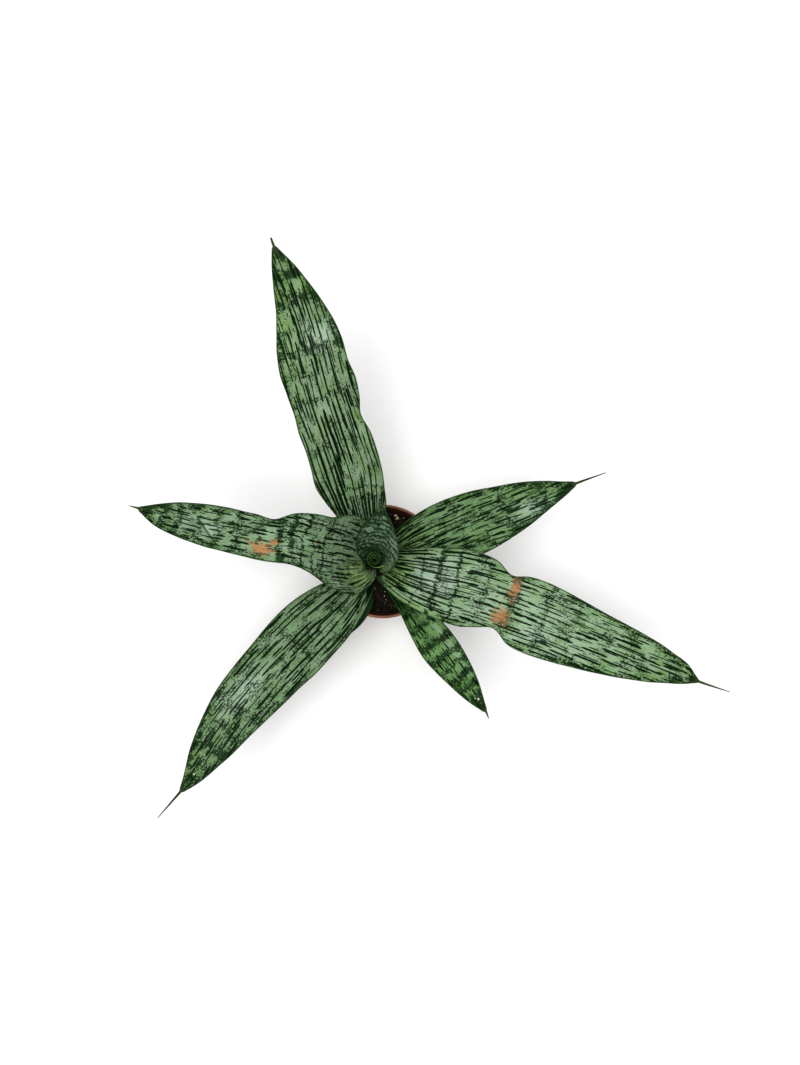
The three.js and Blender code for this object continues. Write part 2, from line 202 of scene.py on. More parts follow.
# How each leaf is marked. silver is its pale ground and green the colour between. lines and
# hairlines are amounts of long and short dark lines; line_length and line_gap are in millimetres.
# Over the first stretch of the blade, steep, the lines are twice as long, and wider by the factor
# bold. specks is the amount of speckling. bands are dark bands across the blade, torn by the
# amount torn: (distance from the foot, half width, strength). arcs is the strength of broken
# rings across it. The painted sheen, young, pale and painted shade patches are a silvery painted
# highlight, the leaf's own yellow-green, a light green that is partly the leaf's own paler green
# and partly painted light in a shaded throat, and dark painted shade: (across, distance from the
# foot, half width, half length, strength). scars are healed patches, nicks brown ones and flecks
# pale ones, without a strength. folds are lines pressed into the blade, each a dark crease with
# the slope on one side darkened as painted shade: (across, distance from the foot) of both ends.
# Across counts from the midline to the left.
MARKINGS = {
    "leaf_centre": dict(
        silver=(126, 154, 124), green=(70, 106, 68), lines=0.1, line_length=12, line_gap=4,
        steep=0, hairlines=0.1, specks=0.8, arcs=1.0, bands=[(128, 5, 0.8)], torn=0.6,
        painted_sheen=[(-20, 92, 9, 26, 0.7), (-20, 56, 5, 14, 0.5)],
        # Its pale patches are partly its own paler green and partly painted light.
        pale=[(-22, 46, 9, 18, 0.9), (-23, 64, 7, 12, 0.6)],
        # Its dark patch is painted shade in the throat of its roll.
        deep=[(1, 40, 15, 34, 0.85)], nicks=[(-9, 68, 1.4, 7)],
    ),
    "leaf_west": dict(
        silver=(128, 154, 122), green=(94, 126, 80), lines=1.0, line_length=22, line_gap=4.6,
        steep=125, hairlines=0.25, specks=0.85,
        bands=[
            (46, 0.7, 0.55), (56, 0.8, 0.6), (66, 0.8, 0.6), (75, 0.9, 0.65), (84, 0.9, 0.7),
            (92, 0.8, 0.6), (98, 1.1, 0.9), (104, 0.8, 0.55), (110, 1.1, 0.9), (122, 1.2, 0.95),
            (133, 1.8, 1.0), (142, 2.6, 0.95), (158, 2.5, 0.6), (176, 2.5, 0.65), (193, 2.5, 0.7),
            (210, 2.0, 0.6), (228, 3, 0.75), (243, 3, 0.85), (259, 6, 1.0),
        ],
        torn=0.5, painted_sheen=[(0, 215, 8, 20, 0.3), (2, 196, 7, 16, 0.3)],
        # Its pale patches are painted light that lifts its shaded throat.
        young=[(16, 48, 16, 28, 0.7)], pale=[(13, 34, 15, 24, 0.95), (0, 24, 20, 16, 0.8)],
        scars=[(8, 155, 5.5, 10), (2, 146, 3, 4)],
        nicks=[(3, 167, 1.6, 2.5), (-6, 109, 1.2, 2), (5, 150, 1.5, 4)],
        folds=[(-17, 146, 2, 173), (-5, 213, 13, 189)],
    ),
    "leaf_east": dict(
        silver=(139, 165, 133), green=(104, 138, 84), lines=1.0, line_length=36, line_gap=4.2,
        steep=95, bold=1.15, hairlines=0.35, specks=0.85,
        bands=[
            (59, 1.0, 0.7), (76, 1.6, 1.0), (93.5, 1.4, 0.85), (119, 2.2, 0.6), (143, 3, 0.7),
            (171, 1.6, 0.65), (197, 1.6, 0.55), (225, 4, 0.4), (250, 4, 0.45), (294, 3, 0.6),
            (311, 5, 1.0),
        ],
        torn=0.25,
        painted_sheen=[
            (4, 84, 14, 8, 0.5), (-14, 172, 9, 20, 0.4), (-10, 118, 10, 12, 0.3),
            (2, 72, 24, 30, 0.5),
        ],
        young=[(0, 30, 26, 26, 0.8), (-24, 62, 6, 26, 0.5)],
        scars=[(14, 142, 12, 5), (-12, 138, 8, 9)],
        nicks=[(2, 143, 2, 2), (-16, 140, 1.5, 3), (10, 141, 1.2, 3), (20, 140, 3, 1)],
    ),
    "leaf_north": dict(
        silver=(124, 149, 116), green=(92, 124, 68), lines=1.0, line_length=44, line_gap=3.9,
        steep=150, bold=1.2, hairlines=0.3, specks=0.85,
        bands=[
            (74, 0.8, 0.65), (82.5, 0.9, 0.75), (128, 2, 0.5), (166, 2.5, 0.6), (186, 2.5, 0.55),
            (204, 3.5, 0.85), (221, 1.5, 0.65), (245, 5.5, 0.85), (265, 4.2, 1.0), (285, 7, 1.0),
        ],
        torn=0.55, painted_sheen=[(-9, 213, 16, 15, 0.5)],
        young=[(0, 26, 14, 16, 0.4), (18, 225, 9, 44, 0.3), (0, 252, 14, 6, 0.3)],
        nicks=[(7, 192, 0.9, 1.3), (14, 184, 0.8, 1.0)],
    ),
    "leaf_upper": dict(
        silver=(108, 138, 96), green=(80, 116, 60), lines=1.0, line_length=28, line_gap=4.1,
        steep=70, bold=1.1, hairlines=0.35, specks=1.0,
        bands=[
            (60, 1.5, 0.5), (84, 2.0, 0.6), (108, 2.5, 0.6), (127, 3.5, 0.85), (148, 2.5, 0.6),
            (161, 2.5, 0.85), (182, 9, 1.0),
        ],
        torn=0.6, painted_sheen=[(-6, 148, 10, 22, 0.45)], young=[(8, 36, 12, 26, 0.5)],
    ),
    "leaf_southwest": dict(
        silver=(118, 145, 110), green=(84, 114, 66), lines=1.0, line_length=36, line_gap=4.8,
        steep=100, bold=1.35, hairlines=0.35, specks=1.2,
        bands=[
            (100, 2.5, 0.6), (147, 2.5, 0.6), (170, 2.5, 0.6), (190, 3.5, 0.75), (208, 4, 0.85),
            (224, 4.5, 0.9), (237, 3, 0.8), (249, 4, 1.0),
        ],
        torn=0.7, painted_sheen=[(-6, 158, 13, 30, 0.45)], young=[(-6, 228, 10, 16, 0.3)],
        flecks=[(0, 233.5, 0.9, 0.9)],
    ),
    "leaf_south": dict(
        silver=(104, 142, 86), green=(76, 116, 56), lines=0.65, line_length=16, line_gap=4.4,
        steep=0, hairlines=0.2, specks=0.7,
        bands=[
            # The wide first band darkens the foot as painted shade, where the east leaf covers it.
            (14, 26, 0.92), (51, 3.6, 0.9), (67, 2.8, 0.9), (86, 2.8, 0.95), (99, 2.8, 0.95),
            (111, 2.2, 0.9), (122, 2.2, 0.95), (133, 2.4, 1.0), (150, 9, 1.0),
        ],
        # Its dark patch is painted shade on its foot, where the east leaf covers it.
        torn=0.25, painted_sheen=[(8, 96, 4, 36, 0.3)], deep=[(-3, 28, 16, 44, 0.8)],
        flecks=[(1, 145.5, 1.0, 1.2), (-1, 143.5, 0.6, 0.7)],
    ),
    "leaf_under": dict(
        # Its dark colours are partly the old leaf's own dark green and partly painted shade where it
        # lies under the southwest leaf.
        silver=(22, 44, 20), green=(18, 38, 14), lines=0.4, line_length=16, line_gap=4.6,
        steep=0, hairlines=0.3, specks=0.5, bands=[(80, 8, 0.7)], torn=0.6,
    ),
}


def catmull_rom(p0, p1, p2, p3, t):
    v0, v1 = (p2 - p0) / 2, (p3 - p1) / 2
    return (2 * p1 - 2 * p2 + v0 + v1) * t**3 + (-3 * p1 + 3 * p2 - 2 * v0 - v1) * t**2 + v0 * t + p1


def along(values, t):
    """Smooth value of an evenly spaced list of numbers or points at each t, from 0 to 1."""
    p = np.asarray(values, float)
    p = np.concatenate([[2 * p[0] - p[1]], p, [2 * p[-1] - p[-2]]])
    spans = len(p) - 3
    x = np.clip(t, 0, 1) * spans
    i = np.minimum(x.astype(int), spans - 1)
    f = (x - i).reshape((-1,) + (1,) * (p.ndim - 1))
    return catmull_rom(p[i], p[i + 1], p[i + 2], p[i + 3], f)


def leaf_frame(leaf):
    """Stations every ROW_STEP or so along a leaf: where they are and which way they face."""
    angle = math.radians(leaf["azimuth"])
    outward = np.array([math.cos(angle), math.sin(angle), 0])
    foot = leaf["ring"] * outward + np.array([*CROWN_CENTRE, LEAF_BASE_Z - LEAF_SUNK])
    fine = along([tuple(foot), *leaf["spine"]], np.linspace(0, 1, SPINE_SAMPLES))
    reach = np.concatenate([[0], np.cumsum(np.linalg.norm(np.diff(fine, axis=0), axis=1))])
    length = reach[-1]
    blade = length - leaf["awn"]
    blade_rows = round(blade / ROW_STEP)
    awn_rows = max(3, round(leaf["awn"] / ROW_STEP))
    in_blade = np.linspace(0, blade, blade_rows + 1)
    s = np.concatenate([in_blade, np.linspace(blade, length, awn_rows + 1)[1:]])

    def place(distance):
        distance = np.clip(distance, 0, length)
        return np.stack([np.interp(distance, reach, fine[:, k]) for k in range(3)], -1)

    tangent = place(s + TANGENT_REACH) - place(s - TANGENT_REACH)
    tangent /= np.linalg.norm(tangent, axis=1)[:, None]
    heading = tangent * [1, 1, 0] + OUTWARD_PART * outward
    left = np.cross([0, 0, 1], heading)
    left -= (left * tangent).sum(1)[:, None] * tangent
    left /= np.linalg.norm(left, axis=1)[:, None]
    face = np.cross(tangent, left)
    t = np.clip(s / blade, 0, 1)
    bank = np.radians(along(leaf.get("bank", [0, 0]), t))[:, None]
    left, face = left * np.cos(bank) + face * np.sin(bank), face * np.cos(bank) - left * np.sin(bank)
    return dict(s=s, t=t, blade=blade, point=place(s), left=left, face=face)


def leaf_surface(leaf):
    """Rings of points round the leaf, one a station, and what its markings are placed by.

    A ring runs over the upper face from the right margin to the left, round that margin, back
    over the underside, and round the right margin. u is -1 at the right margin and 1 at the
    left; depth is 0 on the upper face and 1 on the underside. marks: place across the veins,
    distance from the foot, depth. places: distance from the margin, t, and spread, which is how
    much closer the veins lie than where the blade is widest.
    """
    at = leaf_frame(leaf)
    s, t = at["s"], at["t"]
    in_awn = s > at["blade"]
    awn_tip = leaf.get("awn_tip", AWN_TIP_RADIUS)
    awn = AWN_RADIUS + (awn_tip - AWN_RADIUS) * (s - at["blade"]) / leaf["awn"]
    half_left = np.where(in_awn, awn, np.maximum(along(leaf["left"], t), AWN_RADIUS))
    half_right = np.where(in_awn, awn, np.maximum(along(leaf["right"], t), AWN_RADIUS))
    curl_radius = (half_left + half_right) / np.radians(along(leaf["curl"], t))

    flat = np.linspace(-1, 1, COLUMNS + 1)
    rim = np.ones(EDGE_POINTS)
    u = np.concatenate([flat, rim, flat[::-1], -rim])[None, :]
    round_edge = (np.arange(EDGE_POINTS) + 1) / (EDGE_POINTS + 1)
    depth = np.concatenate([0 * flat, round_edge, 0 * flat + 1, 1 - round_edge])[None, :]
    edge = np.where(in_awn, AWN_EDGE, EDGE_THICKNESS)[:, None]
    bulge = np.sin(np.pi * depth) * edge / 2

    half = np.where(u > 0, half_left[:, None], half_right[:, None])
    across = half * u + np.sign(u) * bulge
    angle = across / curl_radius[:, None]
    height, wave_length, phase_left, phase_right = leaf["wave"]
    phase = np.radians(np.where(u > 0, phase_left, phase_right))
    # The waves set in from 0.15 to 0.4 of the way along the blade and fade in its last fifth.
    fade = (np.clip(4 * t - 0.6, 0, 1) * np.clip(5 * (1 - t), 0, 1))[:, None]
    swing = np.sin(2 * np.pi * s[:, None] / wave_length + phase)
    wave = height * fade * np.abs(u) ** WAVE_POWER * swing
    middle = LEAF_THICKNESS * (1 - THINNING * t)[:, None]
    blade = EDGE_THICKNESS + (middle - EDGE_THICKNESS) * (1 - np.abs(u) ** THICKNESS_POWER)
    spike = np.maximum(AWN_EDGE, 2 * awn[:, None] * np.sqrt(1 - np.minimum(u**2, 1)))
    thickness = np.where(in_awn[:, None], spike, blade)
    to_left, to_face = at["left"][:, None], at["face"][:, None]
    sine, cosine = np.sin(angle)[..., None], np.cos(angle)[..., None]
    radius = curl_radius[:, None, None]
    normal = cosine * to_face - sine * to_left
    points = at["point"][:, None] + radius * (sine * to_left + (1 - cosine) * to_face)
    points = points + (wave - depth * thickness)[..., None] * normal

    # Veins fan out from the foot with the blade and then run on side by side to its margins.
    widest = np.maximum.accumulate((half_left + half_right) / 2)
    ones = np.ones_like(across)
    spread = (widest[-1] / widest)[:, None] * ones
    marks = np.stack([across * spread, s[:, None] * ones, depth * ones], -1)
    places = np.stack([half - np.abs(half * u), t[:, None] * ones, spread], -1)
    return points * MM, marks, places


def ring_faces(rows, ring):
    """Quads between neighbouring rings of points, and one face to close each end."""
    faces = []
    for i in range(rows - 1):
        for j in range(ring):
            k = (j + 1) % ring
            faces.append((i * ring + j, (i + 1) * ring + j, (i + 1) * ring + k, i * ring + k))
    faces.append(tuple(range(ring)))
    faces.append(tuple(range(rows * ring - 1, (rows - 1) * ring - 1, -1)))
    return faces


def make_object(name, vertices, faces):
    mesh = bpy.data.meshes.new(name)
    mesh.from_pydata([tuple(v) for v in vertices], [], faces)
    mesh.polygons.foreach_set("use_smooth", [True] * len(mesh.polygons))
    mesh.update()
    piece = bpy.data.objects.new(name, mesh)
    bpy.context.scene.collection.objects.link(piece)
    return piece


def make_leaf(name, leaf):
    points, marks, places = leaf_surface(leaf)
    rows, ring = points.shape[:2]
    piece = make_object(name + "_blade", points.reshape(-1, 3), ring_faces(rows, ring))
    for label, values in (("vein", marks), ("place", places)):
        layer = piece.data.attributes.new(label, "FLOAT_VECTOR", "POINT")
        layer.data.foreach_set("vector", values.reshape(-1))
    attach(piece, "root")
    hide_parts(name)
    return piece


class Value:
    """A number that varies over a surface: an output of a shader node."""

    def __init__(self, nodes, socket):
        self.nodes, self.socket = nodes, socket

    def __add__(self, other):
        return self.nodes.math("ADD", self, other)

    def __sub__(self, other):
        return self.nodes.math("SUBTRACT", self, other)

    def __rsub__(self, other):
        return self.nodes.math("SUBTRACT", other, self)

    def __mul__(self, other):
        return self.nodes.math("MULTIPLY", self, other)

    def __truediv__(self, other):
        return self.nodes.math("DIVIDE", self, other)

    __radd__ = __add__
    __rmul__ = __mul__

    def floor(self):
        return self.nodes.math("FLOOR", self)

    def abs(self):
        return self.nodes.math("ABSOLUTE", self)

    def at_least(self, other):
        return self.nodes.math("MAXIMUM", self, other)

    def at_most(self, other):
        return self.nodes.math("MINIMUM", self, other)

    def step(self, low, high):
        """0 below low, 1 above high, and smooth between them."""
        node = self.nodes.new("ShaderNodeMapRange", interpolation_type="SMOOTHSTEP")
        self.nodes.feed(node.inputs["Value"], self)
        self.nodes.feed(node.inputs["From Min"], low)
        self.nodes.feed(node.inputs["From Max"], high)
        return Value(self.nodes, node.outputs["Result"])


class Nodes:
    """Builds the node tree of one material."""

    def __init__(self, name):
        self.material = bpy.data.materials.new(name)
        self.material.use_nodes = True
        self.tree = self.material.node_tree
        self.shader = self.tree.nodes["Principled BSDF"]

    def new(self, kind, **settings):
        node = self.tree.nodes.new(kind)
        for key, value in settings.items():
            setattr(node, key, value)
        return node

    def feed(self, socket, value):
        if isinstance(value, Value):
            self.tree.links.new(value.socket, socket)
        else:
            socket.default_value = value

    def math(self, operation, first, second=None):
        node = self.new("ShaderNodeMath", operation=operation)
        self.feed(node.inputs[0], first)
        if second is not None:
            self.feed(node.inputs[1], second)
        return Value(self, node.outputs[0])

    def attribute(self, name):
        """The three numbers of a vector attribute."""
        source = self.new("ShaderNodeAttribute", attribute_name=name)
        node = self.new("ShaderNodeSeparateXYZ")
        self.tree.links.new(source.outputs["Vector"], node.inputs[0])
        return [Value(self, node.outputs[k]) for k in range(3)]

    def object_place(self):
        """Where a point of the object is, in millimetres."""
        source = self.new("ShaderNodeTexCoord")
        node = self.new("ShaderNodeSeparateXYZ")
        self.tree.links.new(source.outputs["Object"], node.inputs[0])
        return [Value(self, node.outputs[k]) * (1 / MM) for k in range(3)]

    def vector(self, x, y, z=0.0):
        node = self.new("ShaderNodeCombineXYZ")
        for k, value in enumerate((x, y, z)):
            self.feed(node.inputs[k], value)
        return Value(self, node.outputs[0])

    def noise(self, vector, detail=2.0, roughness=0.5):
        """Smooth noise about 0.5, one bump to each unit of the vector."""
        node = self.new("ShaderNodeTexNoise", noise_dimensions="3D")
        self.feed(node.inputs["Vector"], vector)
        self.feed(node.inputs["Scale"], 1.0)
        self.feed(node.inputs["Detail"], detail)
        self.feed(node.inputs["Roughness"], roughness)
        return Value(self, node.outputs["Fac"])

    def random(self, x, y=0.0, z=0.0):
        """Three random numbers from 0 to 1, different for each value of x, y and z."""
        source = self.new("ShaderNodeTexWhiteNoise", noise_dimensions="3D")
        self.feed(source.inputs["Vector"], self.vector(x, y, z))
        node = self.new("ShaderNodeSeparateColor")
        self.tree.links.new(source.outputs["Color"], node.inputs[0])
        return [Value(self, node.outputs[k]) for k in range(3)]

    def mix(self, factor, first, second):
        """A colour between first, where the factor is 0, and second."""
        node = self.new("ShaderNodeMix", data_type="RGBA")
        sockets = {socket.identifier: socket for socket in [*node.inputs, *node.outputs]}
        self.feed(sockets["Factor_Float"], factor)
        self.feed(sockets["A_Color"], first)
        self.feed(sockets["B_Color"], second)
        return Value(self, sockets["Result_Color"])

    def scale(self, colour, amount):
        """A colour made darker or lighter."""
        node = self.new("ShaderNodeVectorMath", operation="SCALE")
        self.feed(node.inputs["Vector"], colour)
        self.feed(node.inputs["Scale"], amount)
        return Value(self, node.outputs["Vector"])

    def bump(self, height, distance):
        """Relief: its height from 0 to 1, and the distance that 1 stands for, in metres."""
        node = self.new("ShaderNodeBump")
        self.feed(node.inputs["Height"], height)
        self.feed(node.inputs["Distance"], distance)
        self.feed(node.inputs["Strength"], 1.0)
        self.tree.links.new(node.outputs["Normal"], self.shader.inputs["Normal"])

    def finish(self, colour, roughness, specular):
        """Sets the colour and the gloss, and hands over the material."""
        self.feed(self.shader.inputs["Base Color"], colour)
        self.feed(self.shader.inputs["Roughness"], roughness)
        self.shader.inputs["Specular IOR Level"].default_value = specular
        return self.material


def tint(colour):
    """A screen colour given from 0 to 255, as the numbers that a shader takes."""
    parts = [c / 255 for c in colour]
    parts = [c / 12.92 if c <= 0.04045 else ((c + 0.055) / 1.055) ** 2.4 for c in parts]
    return (*parts, 1.0)


# Colours as on a screen, from 0 to 255. Lines are ink, bands and specks blotch, and the stain
# round them wash.
INK = (1, 20, 1)
BLOTCH = (11, 36, 11)
WASH = (40, 66, 38)
MARGIN = (24, 48, 20)
YOUNG = (126, 164, 94)
# Painted sheen: a silvery highlight painted into the colour where the leaves catch the light.
PAINTED_SHEEN = (168, 190, 170)
SCAR = (172, 120, 80)
SCAR_RIM = (98, 88, 48)
NICK = (88, 58, 36)
FLECK = (206, 200, 172)
AWN = (44, 58, 30)
# Painted shade: dark patches where the throat of the youngest leaf and the covered foot of the south
# leaf lie in shade.
PAINTED_SHADE = (26, 56, 20)
# Partly the leaf's own paler green and partly painted light that lifts the shaded throat of the west
# leaf.
PALE_AND_PAINTED_LIGHT = (176, 208, 138)
PATCHES = {"young": YOUNG, "pale": PALE_AND_PAINTED_LIGHT, "painted_sheen": PAINTED_SHEEN, "deep": PAINTED_SHADE}

# How much of the markings is lost in the pale patches, which are partly painted light, and in the
# patches of painted sheen.
CLEARED = {"pale": 0.3, "painted_sheen": 0.1}

# The underside has the pattern of the upper face this far aside.
UNDERSIDE_SHIFT = 83.0

# Three sets of lines, from long and bold to short and fine: how far apart and how long they are,
# as shares of the gap and length of the leaf's lines, their half width in millimetres, how many
# of the places have one, and a number that keeps their patterns apart.
LINE_LAYERS = ((1.0, 1.0, 0.7, 1.0, 0.0), (1.3, 0.6, 0.6, 0.85, 31.5), (0.8, 0.36, 0.46, 0.4, 71.3))

# Where the veins lie closer, lines keep their width, up to this factor.
LINE_KEPT = 1.8

# The short lines between them, in millimetres: how far apart and how long, and their half width.
HAIRLINE = (2.1, 6.5, 0.36)

# Lines lie in lanes along the veins, one to a cell of a lane. How far a line may stray and lean,
# as shares of the lane's width; how much each end may be cut, as a share of the cell; and by how
# many cells lanes may be shifted.
LINE_STRAY, LINE_LEAN = 0.6, 0.12
LINE_CUT = 0.3
LANE_SHIFT = 9.0

# A line ends with the share LINE_END of its width and gains the whole width in LINE_TAPER
# millimetres from there. Widths start from LINE_LEAST and vary by LINE_VARIES, and LINE_RAGGED
# roughens the sides; all three are shares of the half width. LINE_FAINTEST is how dark the
# thinnest are. LINE_SOFT is where a side fades, in millimetres.
LINE_TAPER, LINE_END = 4.0, 0.3
LINE_LEAST, LINE_VARIES, LINE_RAGGED = 0.55, 0.8, 0.8
LINE_FAINTEST = 0.93
LINE_SOFT = (-0.06, 0.08)

# Bands, in millimetres: how wide the strips are that its pieces lie in, how far they are shifted
# against each other, and how far a band sways. A band is full out to the share BAND_FULL of its
# half width, and gone at the share BAND_GONE and BAND_MORE millimetres beyond.
BAND_STRIP, BAND_JUMP, BAND_SWAY = 1.25, 3.0, 10.0
BAND_FULL, BAND_GONE, BAND_MORE = 0.6, 1.5, 0.9

# The broken rings across the youngest leaf, in millimetres: from one to the next and how far
# they wander; then how much of them is ring and how much is break.
ARC_GAP, ARC_WANDER = 9.0, 18.0
ARC_RING, ARC_BREAK = 0.42, 4.2


def leaf_noise(nodes, across, s, width, length, seed, detail=2.0, roughness=0.5):
    """Noise about 0.5 with bumps so wide and long, in millimetres; the seed picks the pattern."""
    place = nodes.vector(across / width, s / length, seed)
    return nodes.noise(place, detail, roughness)


def dashes(nodes, vein, s, spread, lane, cell, width, amount, seed):
    """Dark lines along the veins: one to a lane and cell at most, each with pointed ends."""
    x = vein / lane + seed
    row = x.floor()
    y = s / cell + nodes.random(row, seed)[0] * LANE_SHIFT
    column = y.floor()
    aside, start, end = nodes.random(row, column, seed + 0.5)
    present, thickness, lean = nodes.random(row, column, seed + 7.5)
    middle = 0.5 + (aside - 0.5) * LINE_STRAY + (lean - 0.5) * LINE_LEAN * (y - column)
    off_line = (x - row - middle).abs() * lane
    to_end = (y - column - start * LINE_CUT).at_most(1.0 - end * LINE_CUT - y + column) * cell
    taper = (to_end / LINE_TAPER + LINE_END).at_most(1.0)
    ragged = leaf_noise(nodes, vein, s, 0.9, 3.0, seed, detail=1.0) - 0.5
    half = width * (LINE_LEAST + LINE_VARIES * thickness) * taper * spread
    line = (half + ragged * width * LINE_RAGGED - off_line).step(*LINE_SOFT)
    line = line * nodes.math("LESS_THAN", present, amount) * to_end.step(0.0, 0.5)
    return line * (LINE_FAINTEST + (1.0 - LINE_FAINTEST) * thickness)


def line_ink(nodes, vein, s, spread, cloud, look, seed):
    """All lines of a leaf, longer and bolder over its steep stretch."""
    steep = look["steep"]
    pace = s.at_most(steep) * 0.5 + (s - steep).at_least(0.0)
    extra = look.get("bold", 1.0) - 1.0
    wider = spread.at_most(LINE_KEPT) * (1.0 + extra * (1.0 - s.step(steep * 0.6, steep * 1.3)))
    ink = 0.0
    for lane, cell, width, share, shift in LINE_LAYERS:
        amount = look["lines"] * share
        lane, cell = lane * look["line_gap"], cell * look["line_length"]
        lines = dashes(nodes, vein, pace, wider, lane, cell, width, amount, seed + shift)
        ink = lines.at_least(ink)
    amount = look["hairlines"] * cloud.step(0.3, 0.65)
    return ink.at_least(dashes(nodes, vein, s, wider, *HAIRLINE, amount, seed + 53))


def band_field(nodes, vein, s, look, seed):
    """How far the bands reach at each point, 0 to 1, with edges that step from vein to vein."""
    strip = (vein / BAND_STRIP + seed).floor()
    jump = (nodes.random(strip, seed)[0] - 0.5) * BAND_JUMP
    sway = (leaf_noise(nodes, vein, s, 13, 30, seed, detail=1.0) - 0.5) * BAND_SWAY
    here = s + jump + sway
    field = 0.0
    for place, half, strength in look["bands"]:
        distance = (here - place).abs()
        reach = (1.0 - distance.step(half * BAND_FULL, half * BAND_GONE + BAND_MORE)) * strength
        field = reach.at_least(field)
    whole = leaf_noise(nodes, vein, s, 5, 9, seed + 1).step(0.36, 0.58)
    return field * (1.0 - look["torn"] * (1.0 - whole))


def arc_rings(nodes, vein, s, seed):
    """Dark rings across a leaf, broken and uneven."""
    wander = (leaf_noise(nodes, vein, s, 9, 16, seed + 8) - 0.5) * ARC_WANDER
    ring = nodes.math("SINE", (s + wander) * (2 * math.pi / ARC_GAP))
    breaks = leaf_noise(nodes, vein, s, 2.6, 5.0, seed + 17, detail=3.0, roughness=0.7) - 0.5
    return (ring * ARC_RING + breaks * ARC_BREAK).step(-0.15, 0.02)


def leaf_marks(nodes, vein, s, spread, margin, look, seed):
    """Ink: the near-black lines. Blotch: dark bands and specks. Wash: the stain round them."""
    field = band_field(nodes, vein, s, look, seed)
    grain = leaf_noise(nodes, vein, s, 1.1, 2.4, seed + 3, roughness=0.6)
    speck = leaf_noise(nodes, vein, s, 1.5, 1.9, seed + 5, roughness=0.65)
    cloud = leaf_noise(nodes, vein, s, 11, 15, seed + 6)
    ink = line_ink(nodes, vein, s, spread, cloud, look, seed)

    # The bands have frayed edges.
    frayed = field + (grain - 0.5) * 1.6 + (speck - 0.5) * 1.6
    blotch = frayed.step(0.56, 0.68) * field.step(0.1, 0.3)

    # Specks lie closer in clouds, by the bands and in the speckled margins.
    dusted = speck + (cloud - 0.5) * 0.5 + field * 0.12 + margin * 0.1
    level = 0.71 - 0.12 * look["specks"]
    blotch = blotch.at_least(dusted.step(level, level + 0.035))

    # Fine squiggles follow the lines where a noise has its middle value.
    middle = 0.5 - (leaf_noise(nodes, vein, s, 2.6, 3.4, seed + 7, detail=1.0) - 0.5).abs()
    squiggle = middle.step(0.47, 0.485) * cloud.step(0.5, 0.58) * look["specks"]
    blotch = blotch.at_least(squiggle * 0.85)

    if "arcs" in look:
        blotch = blotch.at_least(arc_rings(nodes, vein, s, seed) * look["arcs"])
    wash = (field * 0.8).at_least(cloud.step(0.48, 0.72) * 0.4)
    return ink, blotch, wash * grain.step(0.3, 0.6)


def patch(nodes, across, s, place, ragged):
    """1 in the middle of a patch on a leaf, down to 0 past its ragged edge."""
    x, y, reach_x, reach_y = place
    off_x, off_y = (across - x) / reach_x, (s - y) / reach_y
    away = nodes.math("SQRT", off_x * off_x + off_y * off_y) + ragged
    return 1.0 - away.step(0.35, 1.1)


def fold_line(across, s, ends):
    """Distance across a fold, in millimetres, and 1 along its length."""
    x0, y0, x1, y1 = ends
    length = math.hypot(x1 - x0, y1 - y0)
    to_x, to_y = (x1 - x0) / length, (y1 - y0) / length
    lengthwise = (across - x0) * to_x + (s - y0) * to_y
    off = (s - y0) * to_x - (across - x0) * to_y
    return off, lengthwise.step(-2.0, 2.0) * (1.0 - lengthwise.step(length - 4.0, length + 2.0))


def fold_depth(across, s, look):
    """How far the folds press a point in: a crease with a slope down to it on one side. The same
    amount also darkens the colour, the slope as painted shade.
    """
    crease_relief_and_shade = 0.0
    for ends in look.get("folds", ()):
        off, inside = fold_line(across, s, ends)
        crease = 1.0 - off.abs().step(0.3, 1.2)
        slope = off.step(-0.5, 0.5) * (1.0 - off.step(0.5, 7.0))
        crease_relief_and_shade = ((crease + slope * 0.5) * inside).at_least(crease_relief_and_shade)
    return crease_relief_and_shade


def leaf_ground(nodes, vein, across, s, edge, t, look, seed):
    """The colour under the markings, with its patches, and how much of the markings they let show."""
    green = leaf_noise(nodes, vein, s, 8, 15, seed + 9).step(0.4, 0.66) * 0.6
    near_edge = (1.0 - edge.step(1.0, 6.0)) * 0.4
    green = (green + near_edge + t.step(0.55, 1.0) * 0.4).at_most(1.0)
    colour = nodes.mix(green, tint(look["silver"]), tint(look["green"]))
    torn = (leaf_noise(nodes, vein, s, 1.4, 9, seed + 15) - 0.5) * 1.4
    clear = 1.0
    # Besides the leaf's own yellow-green and paler green, the patches paint light and shade into the
    # colour: painted sheen highlights, painted shade, and painted light in part of the pale patches.
    for kind, shade in PATCHES.items():
        for *place, strength in look.get(kind, ()):
            reach = patch(nodes, across, s, place, torn) * strength
            colour = nodes.mix(reach, colour, tint(shade))
            clear = clear * (1.0 - reach * CLEARED.get(kind, 0.0))
    return colour, clear


